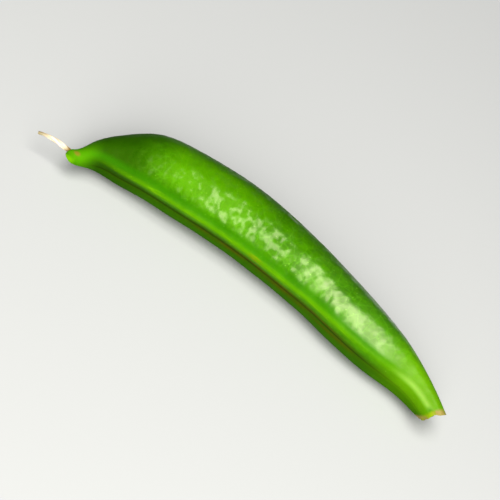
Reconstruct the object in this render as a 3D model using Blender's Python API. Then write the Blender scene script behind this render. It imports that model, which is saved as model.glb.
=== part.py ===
# A sugar snap pea pod, picked and trimmed at the stem, lying on one flank.
# Metres, +Z up. The beak points to -X, the stem end to +X, and the seam lies on the -Y side.

import math

import bmesh
import bpy
import numpy as np
from mathutils import Matrix, Vector

MM = 0.001

# Driving dimensions in millimetres.
# The two edges of the flank in pairs, from the beak to the stem end, each pair followed by
# half the pod's thickness there: seam x, seam y, back x, back y, half thickness.
EDGES = (
    (1.0, -1.35, -0.3, 0.1, 1.15),
    (2.6, -1.0, 1.0, 1.1, 1.4),
    (5.0, 0.9, 2.6, 4.8, 2.7),
    (8.5, 2.1, 5.6, 9.5, 3.9),
    (13.0, 2.65, 10.0, 13.7, 4.9),
    (20.0, 3.05, 18.3, 16.05, 5.45),
    (30.0, 3.75, 29.5, 17.15, 5.58),
    (40.0, 3.75, 41.0, 16.35, 5.33),
    (50.0, 2.85, 52.5, 14.2, 5.0),
    (58.0, 1.3, 62.0, 11.7, 4.7),
    (66.0, 0.8, 69.5, 8.9, 4.05),
    (72.0, 0.4, 75.5, 5.3, 3.1),
    (76.66, -1.29, 80.27, 1.53, 2.4),
)
# The middle of the laid pod and its dried style, in the same drawing.
MIDDLE_X = 37.11
MIDDLE_Y = 7.58

# How the pod lies: the flank sinks this much below the surface and is flat where it would,
# and the middle of the thin ends stays at their height above the surface.
REST_PRESS = 0.05
END_HEIGHT = 4.35
END_BLEND = 0.25

# The seam is rolled towards the surface by these degrees, more on the beak's half of the pod
# than on the stem's, and the roll changes between these shares of the length.
SEAM_ROLL_BEAK = -9.0
SEAM_ROLL_STEM = -1.0
ROLL_CHANGE = (0.55, 0.78)

# The section is fuller near the seam, where the peas hang, and the beak's tip is round.
EGG = 0.05
TIP_ROUND = 1.2

# Two ribs along the seam with a furrow between them, and one low keel along the back. The ribs
# rise behind the beak and draw apart towards the stem, between these shares of the length.
RIB_RISE = (0.02, 0.12)
RIB_SPREAD = (0.35, 1.0)
RIB_OFFSET_BEAK = 1.8
RIB_OFFSET_STEM = 2.3
RIB_HEIGHT = 0.24
RIB_WIDTH = 0.5
FURROW_DEPTH = 0.32
FURROW_WIDTH = 0.65
TROUGH_OFFSET = 0.9
TROUGH_DEPTH = 0.1
TROUGH_WIDTH = 0.5
KEEL_HEIGHT = 0.16
KEEL_WIDTH = 0.8

# Peas that swell the flanks: how many, the first and last one's place in shares of the length,
# how far they lift the skin, and how far the lift spreads along the pod and round it in degrees.
PEA_COUNT = 7
FIRST_PEA = 0.17
LAST_PEA = 0.82
PEA_SWELL = 0.28
PEA_LENGTH = 3.2
PEA_ANGLE = 80.0
PEA_SPREAD = 42.0

# The stem end, torn off at a slant: an uneven rim round a shallow hollow. The rim reaches furthest
# out at the notch's turn round the pod, and the notch itself is a bite out of it there. Each ring of
# the hollow is given by its share of the rim's width and its share of the depth.
TORN_DEPTH = 0.7
TORN_UNEVEN = 0.2
TORN_RUN = 2.0
TORN_SLANT = 1.4
SLANT_RUN = 6.0
TORN_NOTCH = math.radians(60.0)
HOLLOW_RINGS = ((0.9, 0.1), (0.76, 0.6), (0.42, 1.0), (0.0, 1.0))

# The dried style, standing in a pit in the beak's outer side, from its root to its end, and half
# its width at the root, in the middle and at the end.
STYLE_PATH = (
    (1.1, 0.35, 4.5),
    (0.3, 0.3, 4.55),
    (-0.7, 0.25, 4.6),
    (-2.2, 0.25, 4.65),
    (-3.5, 0.15, 4.6),
    (-4.7, -0.05, 4.5),
    (-5.8, -0.4, 4.4),
)
STYLE_ROOT = 0.36
STYLE_MIDDLE = 0.47
STYLE_END = 0.25
STYLE_THICKENS = (0.05, 0.25)
STYLE_FINES = (0.35, 1.0)
# The pit's clearance round the root and below it, and how far its cutter reaches out.
PIT_SIDE = 0.38
PIT_FLOOR = 0.3
PIT_REACH = 3.0
PIT_SIDES = 16

# Points round the pod, closer together at the seam, and rings along it, closer at both ends.
AROUND = 48
ALONG = 62
SEAM_CROWDING = 0.55
END_CROWDING = 0.62
STYLE_SIDES = 8
STYLE_STEPS = 16
# Edges sharper than this stay sharp where the rest is shaded smooth.
EDGE_ANGLE = 50.0


def clear_scene():
    for scene_object in list(bpy.data.objects):
        bpy.data.objects.remove(scene_object, do_unlink=True)


def material(name, color, roughness, metallic=0.0):
    made = bpy.data.materials.new(name)
    made.use_nodes = True
    shader = made.node_tree.nodes["Principled BSDF"]
    shader.inputs["Base Color"].default_value = (*color, 1.0)
    shader.inputs["Roughness"].default_value = roughness
    shader.inputs["Metallic"].default_value = metallic
    return made


def natural_spline(knots, values):
    """The slopes and bends of a smooth curve through the values, one column at a time."""
    count = len(knots)
    step = np.diff(knots)
    system = np.eye(count)
    target = np.zeros_like(values)
    for row in range(1, count - 1):
        system[row, row - 1] = step[row - 1]
        system[row, row] = 2.0 * (step[row - 1] + step[row])
        system[row, row + 1] = step[row]
        rise = (values[row + 1] - values[row]) / step[row]
        fall = (values[row] - values[row - 1]) / step[row - 1]
        target[row] = 6.0 * (rise - fall)
    return np.linalg.solve(system, target)


def spline_at(knots, values, bends, place):
    """The value of the smooth curve at one place between its knots."""
    low = int(np.clip(np.searchsorted(knots, place) - 1, 0, len(knots) - 2))
    step = knots[low + 1] - knots[low]
    after = (place - knots[low]) / step
    before = 1.0 - after
    straight = before * values[low] + after * values[low + 1]
    bent = (before ** 3 - before) * bends[low] + (after ** 3 - after) * bends[low + 1]
    return straight + bent * step * step / 6.0


def rise(value, between):
    """Rises smoothly from 0 to 1 between two values."""
    low, high = between
    share = min(max((value - low) / (high - low), 0.0), 1.0)
    return share * share * (3.0 - 2.0 * share)


def mix(first, second, share):
    return first + (second - first) * share


def hump(distance, width):
    """A rounded ridge across a line, 1 on the line itself."""
    return math.exp(-0.5 * (distance / width) ** 2)


EDGE_VALUES = np.array(EDGES)
EDGE_CENTRES = (EDGE_VALUES[:, 0:2] + EDGE_VALUES[:, 2:4]) / 2.0
EDGE_RUNS = np.linalg.norm(np.diff(EDGE_CENTRES, axis=0), axis=1)
EDGE_KNOTS = np.concatenate(([0.0], np.cumsum(EDGE_RUNS)))
LENGTH = float(EDGE_KNOTS[-1])
EDGE_BENDS = natural_spline(EDGE_KNOTS, EDGE_VALUES)


def section(along):
    """Centre, direction to the seam, half height and half thickness, along millimetres from the tip."""
    values = spline_at(EDGE_KNOTS, EDGE_VALUES, EDGE_BENDS, along)
    seam = Vector((values[0], values[1], 0.0))
    back = Vector((values[2], values[3], 0.0))
    centre = (seam + back) / 2.0
    half_height = (seam - back).length / 2.0
    half_thickness = float(values[4])
    lift = half_thickness - REST_PRESS - END_HEIGHT
    centre.z = END_HEIGHT + (lift + math.sqrt(lift * lift + END_BLEND)) / 2.0
    return centre, (seam - back).normalized(), half_height, half_thickness


def closing(along):
    """How much the tip's round end narrows the beak, 0 at the tip."""
    left = max(1.0 - along / TIP_ROUND, 0.0)
    return math.sqrt(1.0 - left * left)


def seam_relief(across, along):
    """Height of the ribs, furrow and troughs at a distance across from the seam line."""
    share = along / LENGTH
    offset = mix(RIB_OFFSET_BEAK, RIB_OFFSET_STEM, rise(share, RIB_SPREAD))
    beside = abs(across)
    ribs = RIB_HEIGHT * hump(beside - offset, RIB_WIDTH)
    furrow = FURROW_DEPTH * hump(across, FURROW_WIDTH * offset / RIB_OFFSET_BEAK)
    trough = TROUGH_DEPTH * hump(beside - offset - TROUGH_OFFSET, TROUGH_WIDTH)
    return (ribs - furrow - trough) * rise(share, RIB_RISE)


def pea_relief(angle, along):
    """The swelling of both flanks over the peas."""
    fullness = 0.0
    for pea in range(PEA_COUNT):
        place = mix(FIRST_PEA, LAST_PEA, pea / (PEA_COUNT - 1)) * LENGTH
        fullness += hump(along - place, PEA_LENGTH)
    return PEA_SWELL * fullness * hump(abs(math.degrees(angle)) - PEA_ANGLE, PEA_SPREAD)


def keel_relief(from_back, along):
    """The low keel along the back."""
    return KEEL_HEIGHT * hump(from_back, KEEL_WIDTH) * rise(along / LENGTH, RIB_RISE)


def pod_point(along, angle, scale=1.0, sink=0.0):
    """A point of the skin. Angle 0 is the seam line and half a turn either way is the back."""
    centre, to_seam, half_height, half_thickness = section(along)
    relief = seam_relief(half_thickness * angle, along)
    relief += pea_relief(angle, along)
    relief += keel_relief(half_thickness * (math.pi - abs(angle)), along)
    outward = Vector((math.cos(angle) / half_height, math.sin(angle) / half_thickness)).normalized()
    fullness = 1.0 + EGG * math.cos(angle)
    high = half_height * math.cos(angle) + relief * outward.x
    wide = half_thickness * fullness * math.sin(angle) + relief * outward.y
    to_beak = to_seam.cross(Vector((0.0, 0.0, 1.0)))
    roll = mix(SEAM_ROLL_BEAK, SEAM_ROLL_STEM, rise(along / LENGTH, ROLL_CHANGE))
    offset = (to_seam * high + Vector((0.0, 0.0, wide))) * closing(along) * scale
    return centre + Matrix.Rotation(math.radians(roll), 3, to_beak) @ offset + to_beak * sink


def to_frame(point):
    """From the drawing's millimetres to metres round the middle of the laid pod."""
    return Vector((point.x - MIDDLE_X, point.y - MIDDLE_Y, point.z)) * MM


def ring_place(share):
    """How far along the pod a ring lies, with the rings closer together at both ends."""
    full_turn = 2.0 * math.pi
    return LENGTH * (share - END_CROWDING * math.sin(full_turn * share) / full_turn)


def ball(around, rings):
    """A ball of rings, and each of its points with its ring's number and its turn round the ball."""
    shape = bmesh.new()
    bmesh.ops.create_uvsphere(shape, u_segments=around, v_segments=rings, radius=1.0)
    places = []
    for vertex in shape.verts:
        ring = round(math.acos(max(-1.0, min(1.0, vertex.co.z))) * rings / math.pi)
        turn = math.atan2(vertex.co.y, vertex.co.x)
        places.append((vertex, ring, turn))
    return shape, places


def finish_object(name, shape, made_material):
    mesh = bpy.data.meshes.new(name)
    bmesh.ops.recalc_face_normals(shape, faces=shape.faces)
    shape.to_mesh(mesh)
    shape.free()
    mesh.materials.append(made_material)
    mesh.shade_smooth()
    mesh.set_sharp_from_angle(angle=math.radians(EDGE_ANGLE))
    made = bpy.data.objects.new(name, mesh)
    bpy.context.scene.collection.objects.link(made)
    return made


def torn_sink(along, angle):
    """How far the torn rim stands back towards the beak, by the turn round the pod."""
    uneven = math.cos(3.0 * (angle - TORN_NOTCH)) + 0.5 * math.sin(7.0 * angle)
    uneven *= TORN_UNEVEN * rise(along, (LENGTH - TORN_RUN, LENGTH))
    slant = TORN_SLANT * math.cos(angle - TORN_NOTCH) * rise(along, (LENGTH - SLANT_RUN, LENGTH))
    return uneven - slant


def build_pod(skin):
    """A ball drawn out into the pod, whose last rings turn in to line the torn end."""
    shape, places = ball(AROUND, ALONG)
    rim_ring = ALONG - len(HOLLOW_RINGS)
    for vertex, ring, turn in places:
        angle = turn - SEAM_CROWDING * math.sin(turn)
        scale, depth = (1.0, 0.0) if ring <= rim_ring else HOLLOW_RINGS[ring - rim_ring - 1]
        along = ring_place(min(ring / rim_ring, 1.0))
        sink = TORN_DEPTH * depth + torn_sink(along, angle) * scale
        point = pod_point(along, angle, scale, sink)
        point.z = max(point.z, 0.0)
        vertex.co = to_frame(point)
    return finish_object("pod", shape, skin)


def style_radius(share):
    """Half the dried style's width: a thin root, a thicker middle and a fine end."""
    body = mix(STYLE_ROOT, STYLE_MIDDLE, rise(share, STYLE_THICKENS))
    return mix(body, STYLE_END, rise(share, STYLE_FINES))


def style_place(share):
    """A point of the style's path and its direction there."""
    points = np.array(STYLE_PATH)
    runs = np.linalg.norm(np.diff(points, axis=0), axis=1)
    knots = np.concatenate(([0.0], np.cumsum(runs)))
    bends = natural_spline(knots, points)
    nearby = 0.01
    here = Vector(spline_at(knots, points, bends, share * knots[-1]))
    before = Vector(spline_at(knots, points, bends, (share - nearby) * knots[-1]))
    after = Vector(spline_at(knots, points, bends, (share + nearby) * knots[-1]))
    return here, (after - before).normalized()


def build_style(dry):
    """A ball drawn out along the style's path, flat at both ends."""
    shape, places = ball(STYLE_SIDES, STYLE_STEPS)
    for vertex, ring, turn in places:
        share = min(max((ring - 1) / (STYLE_STEPS - 2), 0.0), 1.0)
        here, ahead = style_place(share)
        side = ahead.cross(Vector((0.0, 0.0, 1.0))).normalized()
        up = side.cross(ahead)
        radius = 0.0 if ring in (0, STYLE_STEPS) else style_radius(share)
        vertex.co = to_frame(here + (side * math.cos(turn) + up * math.sin(turn)) * radius)
    return finish_object("dried_style", shape, dry)


def cut_style_pit(pod):
    """The small pit in the beak that the style's root stands in."""
    root, ahead = style_place(0.0)
    middle = to_frame(root + ahead * (PIT_REACH / 2.0 - PIT_FLOOR))
    turned = ahead.to_track_quat("Z", "Y").to_matrix().to_4x4()
    radius = (STYLE_ROOT + PIT_SIDE) * MM
    shape = bmesh.new()
    bmesh.ops.create_cone(
        shape,
        cap_ends=True,
        segments=PIT_SIDES,
        radius1=radius,
        radius2=radius,
        depth=PIT_REACH * MM,
        matrix=Matrix.Translation(middle) @ turned,
    )
    cutter = finish_object("style_pit_cutter", shape, pod.data.materials[0])
    cutter.hide_render = True
    cutter.display_type = "WIRE"
    cut = pod.modifiers.new("style pit", "BOOLEAN")
    cut.operation = "DIFFERENCE"
    cut.solver = "EXACT"
    cut.object = cutter


def build():
    clear_scene()
    skin = material("pod_skin", (0.11, 0.38, 0.005), 0.36)
    dry = material("dry_style", (0.86, 0.7, 0.48), 0.75)
    pod = build_pod(skin)
    cut_style_pit(pod)
    build_style(dry)


build()
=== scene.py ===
# %% [markdown]
# A sugar snap pea pod, picked and torn from its stalk, lies on one flank on a pale surface. The
# packed CAD model gives its place and its size. This lesson grows a finer skin over the same form,
# with the crinkled wax, the two seam ribs and the torn stem end that a close look shows, and a
# finer dried style for the beak.

# %% Load the frame
import math

import bmesh
import bpy
import numpy as np
from mathutils import Matrix, Vector, noise


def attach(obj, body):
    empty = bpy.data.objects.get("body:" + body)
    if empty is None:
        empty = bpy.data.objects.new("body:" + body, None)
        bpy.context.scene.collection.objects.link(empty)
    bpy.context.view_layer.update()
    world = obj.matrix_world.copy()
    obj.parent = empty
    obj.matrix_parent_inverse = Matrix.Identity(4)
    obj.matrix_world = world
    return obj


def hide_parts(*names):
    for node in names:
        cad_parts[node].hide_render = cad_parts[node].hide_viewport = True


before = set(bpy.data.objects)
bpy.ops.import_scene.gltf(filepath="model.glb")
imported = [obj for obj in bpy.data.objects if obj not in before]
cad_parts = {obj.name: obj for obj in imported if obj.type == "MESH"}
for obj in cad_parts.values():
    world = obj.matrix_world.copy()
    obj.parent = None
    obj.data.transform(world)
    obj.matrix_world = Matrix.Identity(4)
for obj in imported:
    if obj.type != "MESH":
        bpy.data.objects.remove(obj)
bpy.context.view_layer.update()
MM = 0.001

# %% [markdown]
# The camera looks down on the pod from its seam side. The pod was seen halfway between flank-on and
# seam-on, so the camera stands 46 degrees above the surface. It is rolled so that the pod runs
# down to the right by 36 degrees, with the beak at the upper left. A long lens keeps the shape free
# of strong perspective, as in a product picture taken from well above.

# %% Set up the camera
CAMERA_HEIGHT = math.radians(46.0)
CAMERA_ROLL = math.radians(36.0)
CAMERA_LENS = 120.0
SENSOR = 36.0
VIEW_WIDTH = 88.0 * MM
AIM = Vector((-1.25, -1.13, 4.6)) * MM
NEAREST_SEEN = 10.0 * MM
FURTHEST_SEEN = 10.0

camera_data = bpy.data.cameras.new("camera")
camera_data.lens = CAMERA_LENS
camera_data.sensor_width = SENSOR
camera_data.clip_start = NEAREST_SEEN
camera_data.clip_end = FURTHEST_SEEN
camera = bpy.data.objects.new("camera", camera_data)
bpy.context.scene.collection.objects.link(camera)
bpy.context.scene.camera = camera
to_camera = Vector((0.0, -math.cos(CAMERA_HEIGHT), math.sin(CAMERA_HEIGHT)))
camera_distance = VIEW_WIDTH * CAMERA_LENS / SENSOR
camera.location = AIM + to_camera * camera_distance
turn_to_aim = (-to_camera).to_track_quat("-Z", "Y").to_matrix()
camera.rotation_euler = (turn_to_aim @ Matrix.Rotation(CAMERA_ROLL, 3, "Z")).to_euler()
print("camera distance in mm:", round(camera_distance / MM))

# %% [markdown]
# The surface is plain and pale. It is one large square, wide enough to fill every view. Its color
# is a little cool, so that it reads as neutral under the warm light of the next step.

# %% Lay the surface
FLOOR_SIZE = 6.0
FLOOR_COLOR = (0.42, 0.43, 0.61, 1.0)
FLOOR_ROUGHNESS = 0.7

floor_shape = bmesh.new()
bmesh.ops.create_grid(floor_shape, x_segments=1, y_segments=1, size=FLOOR_SIZE / 2.0)
floor_mesh = bpy.data.meshes.new("pale_surface")
floor_shape.to_mesh(floor_mesh)
floor_shape.free()
floor = bpy.data.objects.new("pale_surface", floor_mesh)
bpy.context.scene.collection.objects.link(floor)
floor_finish = bpy.data.materials.new("pale_surface")
floor_finish.use_nodes = True
floor_shader = floor_finish.node_tree.nodes["Principled BSDF"]
floor_shader.inputs["Base Color"].default_value = FLOOR_COLOR
floor_shader.inputs["Roughness"].default_value = FLOOR_ROUGHNESS
floor_mesh.materials.append(floor_finish)
print("surface width in m:", FLOOR_SIZE)

# %% [markdown]
# The light is a plain soft studio. One tall softbox leans over the pod, from low in front of it to
# just past overhead. The wax mirrors it as one long highlight along the flank, and the far side
# falls into deeper green. A small lamp would leave only a thin hard line. The softbox is warm,
# because a highlight on green wax is a yellowish white, and a dim white world keeps the shadows
# open.

# %% Light the pod
KEY_PLACE = Vector((0.09, -0.298, 0.442))
KEY_SIZE = (0.42, 1.05)
KEY_POWER = 9.0
KEY_COLOR = (1.0, 0.98, 0.66)
WORLD_COLOR = (1.0, 1.0, 1.0, 1.0)
WORLD_STRENGTH = 0.08

key_data = bpy.data.lights.new("key_softbox", "AREA")
key_data.shape = "RECTANGLE"
key_data.size, key_data.size_y = KEY_SIZE
key_data.energy = KEY_POWER
key_data.color = KEY_COLOR
key_softbox = bpy.data.objects.new("key_softbox", key_data)
key_softbox.location = KEY_PLACE
key_softbox.rotation_euler = (AIM - KEY_PLACE).to_track_quat("-Z", "Y").to_euler()
bpy.context.scene.collection.objects.link(key_softbox)
world = bpy.data.worlds.new("studio")
world.use_nodes = True
backdrop = world.node_tree.nodes["Background"]
backdrop.inputs["Color"].default_value = WORLD_COLOR
backdrop.inputs["Strength"].default_value = WORLD_STRENGTH
bpy.context.scene.world = world
bpy.context.scene.view_settings.view_transform = "Standard"
bpy.context.scene.view_settings.look = "Medium High Contrast"
print("softbox distance in mm:", round((AIM - KEY_PLACE).length / MM))

# %% [markdown]
# A pod grows from one folded leaf, so its shape is best told by the leaf's two edges: the seam,
# where the margins meet, and the back, where the leaf was folded. The two edges are given in pairs
# from the beak to the stem end. A natural cubic spline runs through them, because it bends as
# evenly as a grown edge does. A chain of bezier curves would also do, but its handles would have to
# be set by hand. These are the CAD model's own dimensions, repeated here so that the finer skin
# lies on it.

# %% Draw the two edges
# Each row has a seam point, the back point across from it, and half the thickness there, in mm.
EDGES = np.array((
    (1.0, -1.35, -0.3, 0.1, 1.15),
    (2.6, -1.0, 1.0, 1.1, 1.4),
    (5.0, 0.9, 2.6, 4.8, 2.7),
    (8.5, 2.1, 5.6, 9.5, 3.9),
    (13.0, 2.65, 10.0, 13.7, 4.9),
    (20.0, 3.05, 18.3, 16.05, 5.45),
    (30.0, 3.75, 29.5, 17.15, 5.58),
    (40.0, 3.75, 41.0, 16.35, 5.33),
    (50.0, 2.85, 52.5, 14.2, 5.0),
    (58.0, 1.3, 62.0, 11.7, 4.7),
    (66.0, 0.8, 69.5, 8.9, 4.05),
    (72.0, 0.4, 75.5, 5.3, 3.1),
    (76.66, -1.29, 80.27, 1.53, 2.4),
))
MIDDLE_LINE = (EDGES[:, 0:2] + EDGES[:, 2:4]) / 2.0


def spline(rows, path):
    """A smooth curve through rows of values, read by the distance in mm along a path."""
    runs = np.linalg.norm(np.diff(path, axis=0), axis=1)
    knots = np.concatenate(([0.0], np.cumsum(runs)))
    step = np.diff(knots)
    system = np.eye(len(knots))
    target = np.zeros_like(rows)
    for row in range(1, len(knots) - 1):
        before, after = step[row - 1], step[row]
        system[row, row - 1:row + 2] = before, 2.0 * (before + after), after
        slope_before = (rows[row] - rows[row - 1]) / before
        slope_after = (rows[row + 1] - rows[row]) / after
        target[row] = 6.0 * (slope_after - slope_before)
    bends = np.linalg.solve(system, target)

    def at(place):
        low = np.clip(np.searchsorted(knots, place) - 1, 0, len(knots) - 2)
        width = (knots[low + 1] - knots[low])[:, None]
        after = (place - knots[low])[:, None] / width
        before = 1.0 - after
        bent = (before ** 3 - before) * bends[low] + (after ** 3 - after) * bends[low + 1]
        return before * rows[low] + after * rows[low + 1] + bent * width ** 2 / 6.0

    return at, float(knots[-1])


edges_at, LENGTH = spline(EDGES, MIDDLE_LINE)
print("length along the middle in mm:", round(LENGTH, 2))

# %% [markdown]
# Nothing on a grown skin has a sharp step: each form swells and sinks softly. Three small formulas
# are enough to say all of it. One rises smoothly between two values, one is a rounded ridge, and
# one mixes two values. They work on whole arrays of points at once, which keeps a hundred thousand
# points quick.

# %% Write the soft forms
def rise(value, span):
    """Rises smoothly from 0 to 1 as the value crosses a span."""
    share = np.clip((value - span[0]) / (span[1] - span[0]), 0.0, 1.0)
    return share * share * (3.0 - 2.0 * share)


def hump(distance, width):
    """A rounded ridge across a line, 1 on the line itself."""
    return np.exp(-0.5 * (distance / width) ** 2)


def mix(first, second, share):
    """The first value at a share of 0 and the second at a share of 1."""
    return first + (second - first) * share


print("a hump at twice its width:", round(float(hump(2.0, 1.0)), 3))

# %% [markdown]
# Where the margins of the leaf meet, a furrow runs between two fleshy ribs, and a shallow trough
# sets off each rib from its flank. The ribs move apart towards the stem. All of it depends only on
# the distance from the seam line, so one formula serves the whole length. Edge loops pulled out by
# hand would have to be kept even over six hundred rings.

# %% Shape the seam
RIB_RISE = (0.02, 0.12)
RIB_SPREAD = (0.35, 1.0)
RIB_OFFSET_BEAK = 1.8
RIB_OFFSET_STEM = 2.3
RIB_HEIGHT = 0.24
RIB_WIDTH = 0.5
FURROW_DEPTH = 0.32
FURROW_WIDTH = 0.65
TROUGH_OFFSET = 0.9
TROUGH_DEPTH = 0.1
TROUGH_WIDTH = 0.5


def rib_offset(share):
    """How far each rib lies from the seam line in mm, by the share of the pod's length."""
    return mix(RIB_OFFSET_BEAK, RIB_OFFSET_STEM, rise(share, RIB_SPREAD))


def seam_relief(across, share):
    """The ribs, furrow and troughs, by the distance from the seam line and the length's share."""
    offset = rib_offset(share)
    distance = np.abs(across)
    ribs = RIB_HEIGHT * hump(distance - offset, RIB_WIDTH)
    furrow = FURROW_DEPTH * hump(across, FURROW_WIDTH * offset / RIB_OFFSET_BEAK)
    trough = TROUGH_DEPTH * hump(distance - offset - TROUGH_OFFSET, TROUGH_WIDTH)
    return (ribs - furrow - trough) * rise(share, RIB_RISE)


print("seam relief at 0 to 4 mm:", np.round(seam_relief(np.arange(5.0), 0.5), 2).tolist())

# %% [markdown]
# The back has one low keel, where the leaf was folded. The peas press both flanks out a little, in
# a row of seven swellings, and near the stem the upper flank has a low shoulder. These forms are
# wide and shallow. They hardly change the outline, but they bend the highlight.

# %% Shape the back and the flanks
KEEL_HEIGHT = 0.16
KEEL_WIDTH = 0.8
PEA_COUNT = 7
FIRST_PEA = 0.17
LAST_PEA = 0.82
PEA_SWELL = 0.28
PEA_LENGTH = 3.2
PEA_ANGLE = 80.0
PEA_SPREAD = 42.0
SHOULDER_HEIGHT = 0.34
SHOULDER_ANGLE = 100.0
SHOULDER_SPREAD = 17.0
SHOULDER_RISE = (0.68, 0.8)


def keel_relief(from_fold, share):
    """The keel along the back, by the distance from the fold in mm."""
    return KEEL_HEIGHT * hump(from_fold, KEEL_WIDTH) * rise(share, RIB_RISE)


def pea_relief(angle, share):
    """The swelling of both flanks over the peas."""
    places = np.linspace(FIRST_PEA, LAST_PEA, PEA_COUNT)
    fullness = sum(hump((share - place) * LENGTH, PEA_LENGTH) for place in places)
    return PEA_SWELL * fullness * hump(np.abs(np.degrees(angle)) - PEA_ANGLE, PEA_SPREAD)


def shoulder_relief(angle, share):
    """The low shoulder, on the upper flank only."""
    shoulder = hump(np.degrees(angle) - SHOULDER_ANGLE, SHOULDER_SPREAD)
    return SHOULDER_HEIGHT * shoulder * rise(share, SHOULDER_RISE)


print("peas in mm:", np.round(np.linspace(FIRST_PEA, LAST_PEA, PEA_COUNT) * LENGTH, 1).tolist())

# %% [markdown]
# Every ring of the skin is an ellipse between the two edges, a little fuller near the seam. It is
# rolled by a few degrees, because a real pod is never quite flat, and the relief is added square to
# the skin. Where the pod is thick, its weight presses it lightly onto the surface. Its thinner ends
# stay at one height and hang clear. A loft through curves would give the same body, but the relief
# would then need a second pass.

# %% Shape the sections
REST_PRESS = 0.05
END_HEIGHT = 4.35
END_BLEND = 0.25
SEAM_ROLL_BEAK = -9.0
SEAM_ROLL_STEM = -1.0
ROLL_CHANGE = (0.55, 0.78)
EGG = 0.05
TIP_ROUND = 1.2
DRAWING_MIDDLE = np.array((37.11, 7.58, 0.0))


def skin_points(along, angle, scale, sink, extra):
    """Points of the skin in mm, with extra relief added. Angle 0 is the seam line."""
    values = edges_at(along)
    seam, back, thick = values[:, 0:2], values[:, 2:4], values[:, 4]
    high = np.linalg.norm(seam - back, axis=1) / 2.0
    to_seam = (seam - back) / (2.0 * high)[:, None]
    share = along / LENGTH
    relief = seam_relief(thick * angle, share) + pea_relief(angle, share)
    relief += keel_relief(thick * (math.pi - np.abs(angle)), share)
    relief += extra
    relief += shoulder_relief(angle, share)
    facing = np.stack((np.cos(angle) / high, np.sin(angle) / thick), axis=1)
    facing /= np.linalg.norm(facing, axis=1)[:, None]
    narrowing = np.sqrt(1.0 - np.maximum(1.0 - along / TIP_ROUND, 0.0) ** 2) * scale
    out = (high * np.cos(angle) + relief * facing[:, 0]) * narrowing
    fuller = 1.0 + EGG * np.cos(angle)
    up = (thick * fuller * np.sin(angle) + relief * facing[:, 1]) * narrowing
    roll = np.radians(mix(SEAM_ROLL_BEAK, SEAM_ROLL_STEM, rise(share, ROLL_CHANGE)))
    rolled_out = out * np.cos(roll) - up * np.sin(roll)
    rolled_up = out * np.sin(roll) + up * np.cos(roll)
    lift = thick - REST_PRESS - END_HEIGHT
    height = END_HEIGHT + (lift + np.sqrt(lift ** 2 + END_BLEND)) / 2.0
    to_beak = np.stack((to_seam[:, 1], -to_seam[:, 0]), axis=1)
    flat = (seam + back) / 2.0 + to_seam * rolled_out[:, None] + to_beak * sink[:, None]
    return np.column_stack((flat, height + rolled_up))


def to_frame(points):
    """From the drawing's millimetres to metres round the middle of the laid pod."""
    return (points - DRAWING_MIDDLE) * MM


halfway = np.full(2, LENGTH / 2.0)
seam_and_back = skin_points(halfway, np.array((0.0, math.pi)), 1.0, np.zeros(2), 0.0)
print("seam to back halfway in mm:", round(float(np.ptp(seam_and_back[:, 1])), 2))

# %% [markdown]
# The wax on a fresh pod is finely crinkled. Small rounded wrinkles, about a millimetre across,
# break up the highlight, and soft dents of three to six millimetres lie under them. Both come from
# smooth noise on a straightened copy of the pod, so that they follow its bend. They are real
# relief, because a bump in the material alone would leave the outline and the exported mesh too
# smooth. They fade on the tight ribs, on the back and at both ends, and are calmer near the stem.

# %% Crinkle the wax
# Each has its rate along the pod and its rate round it, per mm, its height in mm, and its start.
WRINKLES = (0.88, 0.82, 0.078, 3.7)
FINE_WRINKLES = (1.9, 1.7, 0.01, 19.1)
WIDE_DENTS = (0.17, 0.15, 0.07, 41.3)
SMALL_DENTS = (0.38, 0.34, 0.075, 29.5)
WRINKLES_BEGIN = (0.05, 0.16)
WRINKLES_END = (0.94, 1.0)
RIB_SMOOTH = (2.6, 3.7)
BACK_SMOOTH = (1.0, 5.5)
STEM_CALM = (0.62, 0.78)
STEM_CALM_SHARE = 0.4


def noise_on(places, along_rate, girth_rate, height, start):
    """Smooth noise from -height to height on the straightened pod."""
    stretched = places * np.array((along_rate, girth_rate, girth_rate)) + start
    return height * np.array([noise.noise(place) for place in stretched.tolist()])


def straightened(along, angle):
    """Places on a straight copy of the pod: along it, towards the seam and up, in mm."""
    values = edges_at(along)
    high = np.linalg.norm(values[:, 0:2] - values[:, 2:4], axis=1) / 2.0
    return np.column_stack((along, high * np.cos(angle), values[:, 4] * np.sin(angle)))


def crinkle_relief(along, angle):
    """The wrinkles and dents in mm."""
    places = straightened(along, angle)
    share = along / LENGTH
    thick = edges_at(along)[:, 4]
    shown = rise(share, WRINKLES_BEGIN) * (1.0 - rise(share, WRINKLES_END))
    shown *= rise(thick * np.abs(angle), RIB_SMOOTH)
    shown *= 1.0 - STEM_CALM_SHARE * rise(share, STEM_CALM)
    shown *= rise(thick * (math.pi - np.abs(angle)), BACK_SMOOTH)
    wrinkles = noise_on(places, *WRINKLES) + noise_on(places, *FINE_WRINKLES)
    dents = noise_on(places, *WIDE_DENTS) + noise_on(places, *SMALL_DENTS)
    return (wrinkles + dents) * shown


print("a wrinkle in mm:", round(1.0 / WRINKLES[0], 2), "across and", WRINKLES[2], "high")

# %% [markdown]
# The skin starts as a ball of rings, which is closed from the first and has its poles where the pod
# has its two ends. Every point is then carried to its place on the pod, found from its ring and its
# turn round the ball. The rings lie closer on the round beak and at both ends, and the points lie
# closest at the seam, where the relief is finest. The last rings are kept for the torn end.

# %% Start the skin as a ball
AROUND = 160
RINGS = 600
TIP_RINGS = 18
HOLLOW_RINGS = 30
SEAM_CROWDING = 0.55
END_CROWDING = 0.3


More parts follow.
